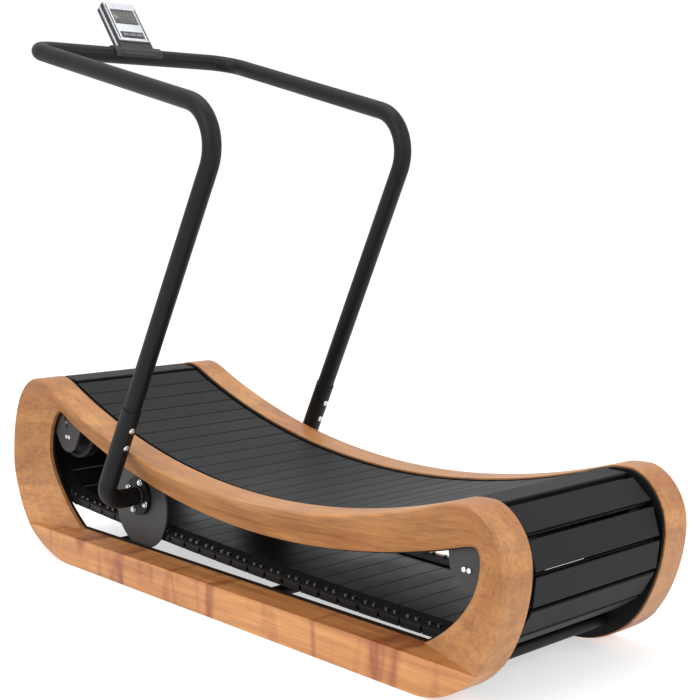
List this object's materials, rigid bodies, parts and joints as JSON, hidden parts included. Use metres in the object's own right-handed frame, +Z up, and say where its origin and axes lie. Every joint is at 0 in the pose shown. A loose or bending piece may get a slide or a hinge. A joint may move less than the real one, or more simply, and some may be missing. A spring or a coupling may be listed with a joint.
{
  "type": "curved manual treadmill",
  "caption": "Unpowered walking machine: a concave slat belt between two wooden side frames, with a bent handrail and a small console.",
  "frame": {"origin": "on the floor, under the middle of the wooden frames", "axes": "+X towards the rear, where a person steps on; +Y to the right of a person who faces the console; +Z up"},
  "size_m": [1.74, 0.6552, 1.4469],
  "materials": {
    "wood": "oiled laminated hardwood",
    "slat_profile": "black anodised",
    "tread_rubber": "matt, fine texture",
    "belt_rubber": "matt",
    "bright_bolts": "polished",
    "black_plate": "satin black powder coat",
    "grey_plate": "satin dark grey",
    "bright_steel": "turned",
    "drum_black": "satin black",
    "roller_plastic": "turned nylon",
    "rail_paint": "fine textured matt black powder coat",
    "console_black": "moulded",
    "console_silver": "silver lacquer",
    "key_rubber": "soft grey"
  },
  "bodies": {
    "frame": {"left_base_rail": "wood", "right_base_rail": "wood", "left_front_end": "wood", "right_front_end": "wood", "left_top_rail": "wood", "right_top_rail": "wood", "left_rear_end": "wood", "right_rear_end": "wood", "left_side_plate": "black_plate", "right_side_plate": "black_plate", "mount_plates": "grey_plate", "axle_plates": "grey_plate", "cross_tubes": "black_plate", "front_axle": "bright_steel", "rear_axle": "bright_steel", "frame_bolts": "bright_bolts", "roller_bushes": "bright_steel", "feet": "rail_paint", "handrail": "rail_paint", "console_housing": "console_black", "console_panel": "console_silver"},
    "front_drum": {"front_pulleys": "drum_black", "front_bearings": "bright_steel", "front_upper_slats": "slat_profile", "front_upper_treads": "tread_rubber", "front_upper_belts": "belt_rubber", "front_upper_bolts": "bright_bolts"},
    "rear_drum": {"rear_pulleys": "drum_black", "rear_bearings": "bright_steel", "rear_upper_slats": "slat_profile", "rear_upper_treads": "tread_rubber", "rear_upper_belts": "belt_rubber", "rear_upper_bolts": "bright_bolts"},
    "support_roller_1": {"support_roller_1": "roller_plastic"},
    "support_roller_2": {"support_roller_2": "roller_plastic"},
    "support_roller_3": {"support_roller_3": "roller_plastic"},
    "support_roller_4": {"support_roller_4": "roller_plastic"},
    "support_roller_5": {"support_roller_5": "roller_plastic"},
    "support_roller_6": {"support_roller_6": "roller_plastic"},
    "support_roller_7": {"support_roller_7": "roller_plastic"},
    "support_roller_8": {"support_roller_8": "roller_plastic"},
    "top_run": {"top_slats": "slat_profile", "top_treads": "tread_rubber", "top_belts": "belt_rubber", "top_bolts": "bright_bolts"},
    "rear_lower_run": {"rear_lower_slats": "slat_profile", "rear_lower_treads": "tread_rubber", "rear_lower_belts": "belt_rubber", "rear_lower_bolts": "bright_bolts"},
    "return_run": {"return_slats": "slat_profile", "return_treads": "tread_rubber", "return_belts": "belt_rubber", "return_bolts": "bright_bolts"},
    "front_lower_run": {"front_lower_slats": "slat_profile", "front_lower_treads": "tread_rubber", "front_lower_belts": "belt_rubber", "front_lower_bolts": "bright_bolts"},
    "key_1": {"key_1": "key_rubber"},
    "key_2": {"key_2": "key_rubber"},
    "key_3": {"key_3": "key_rubber"}
  },
  "joints": [
    {"name": "belt_travel", "type": "hinge", "parent": "frame", "child": "top_run", "pos_m": [0.126, 0, 2.227], "axis": [0, -1, 0], "range_deg": [-0.87, 0.87]},
    {"name": "rear_drum_turn", "type": "hinge", "parent": "frame", "child": "rear_drum", "pos_m": [0.751, 0, 0.27145], "axis": [0, 1, 0], "range_deg": [-20.59, 20.59]},
    {"name": "front_drum_turn", "type": "hinge", "parent": "frame", "child": "front_drum", "pos_m": [-0.727, 0, 0.34421], "axis": [0, 1, 0], "range_deg": [-17.7, 17.7]},
    {"name": "rear_lower_travel", "type": "hinge", "parent": "frame", "child": "rear_lower_run", "pos_m": [0.69968, 0, 0.24442], "axis": [0, 1, 0], "range_deg": [-12.29, 12.29]},
    {"name": "front_lower_travel", "type": "hinge", "parent": "frame", "child": "front_lower_run", "pos_m": [-0.68643, 0, 0.30276], "axis": [0, 1, 0], "range_deg": [-11.21, 11.21]},
    {"name": "return_travel", "type": "hinge", "parent": "frame", "child": "return_run", "pos_m": [0.64005, 0, 20.08033], "axis": [0, 1, 0], "range_deg": [-0.089, 0.089]},
    {"name": "roller_1_turn", "type": "hinge", "parent": "frame", "child": "support_roller_1", "pos_m": [-0.58459, 0, 0.37323], "axis": [0, 1, 0], "range_deg": [-110.77, 110.77]},
    {"name": "roller_2_turn", "type": "hinge", "parent": "frame", "child": "support_roller_2", "pos_m": [-0.41891, 0, 0.31794], "axis": [0, 1, 0], "range_deg": [-110.77, 110.77]},
    {"name": "roller_3_turn", "type": "hinge", "parent": "frame", "child": "support_roller_3", "pos_m": [-0.24901, 0, 0.27744], "axis": [0, 1, 0], "range_deg": [-110.77, 110.77]},
    {"name": "roller_4_turn", "type": "hinge", "parent": "frame", "child": "support_roller_4", "pos_m": [-0.0762, 0, 0.25202], "axis": [0, 1, 0], "range_deg": [-110.77, 110.77]},
    {"name": "roller_5_turn", "type": "hinge", "parent": "frame", "child": "support_roller_5", "pos_m": [0.09817, 0, 0.24189], "axis": [0, 1, 0], "range_deg": [-110.77, 110.77]},
    {"name": "roller_6_turn", "type": "hinge", "parent": "frame", "child": "support_roller_6", "pos_m": [0.27275, 0, 0.24713], "axis": [0, 1, 0], "range_deg": [-110.77, 110.77]},
    {"name": "roller_7_turn", "type": "hinge", "parent": "frame", "child": "support_roller_7", "pos_m": [0.4462, 0, 0.26769], "axis": [0, 1, 0], "range_deg": [-110.77, 110.77]},
    {"name": "roller_8_turn", "type": "hinge", "parent": "frame", "child": "support_roller_8", "pos_m": [0.61717, 0, 0.30342], "axis": [0, 1, 0], "range_deg": [-110.77, 110.77]},
    {"name": "key_1_press", "type": "slide", "parent": "frame", "child": "key_1", "axis": [-0.7986, 0, -0.6018], "range_m": [0, 0.0012], "stiffness_N_per_m": 400, "springref_m": -0.0006},
    {"name": "key_2_press", "type": "slide", "parent": "frame", "child": "key_2", "axis": [-0.7986, 0, -0.6018], "range_m": [0, 0.0012], "stiffness_N_per_m": 400, "springref_m": -0.0006},
    {"name": "key_3_press", "type": "slide", "parent": "frame", "child": "key_3", "axis": [-0.7986, 0, -0.6018], "range_m": [0, 0.0012], "stiffness_N_per_m": 400, "springref_m": -0.0006}
  ],
  "couplings": [
    {"joint": "rear_drum_turn", "follows": "belt_travel", "ratio": 22.872},
    {"joint": "front_drum_turn", "follows": "belt_travel", "ratio": 19.67},
    {"joint": "rear_lower_travel", "follows": "belt_travel", "ratio": 13.66},
    {"joint": "front_lower_travel", "follows": "belt_travel", "ratio": 12.449},
    {"joint": "return_travel", "follows": "belt_travel", "ratio": 0.098448},
    {"joint": "roller_1_turn", "follows": "belt_travel", "ratio": 123.06},
    {"joint": "roller_2_turn", "follows": "belt_travel", "ratio": 123.06},
    {"joint": "roller_3_turn", "follows": "belt_travel", "ratio": 123.06},
    {"joint": "roller_4_turn", "follows": "belt_travel", "ratio": 123.06},
    {"joint": "roller_5_turn", "follows": "belt_travel", "ratio": 123.06},
    {"joint": "roller_6_turn", "follows": "belt_travel", "ratio": 123.06},
    {"joint": "roller_7_turn", "follows": "belt_travel", "ratio": 123.06},
    {"joint": "roller_8_turn", "follows": "belt_travel", "ratio": 123.06}
  ]
}
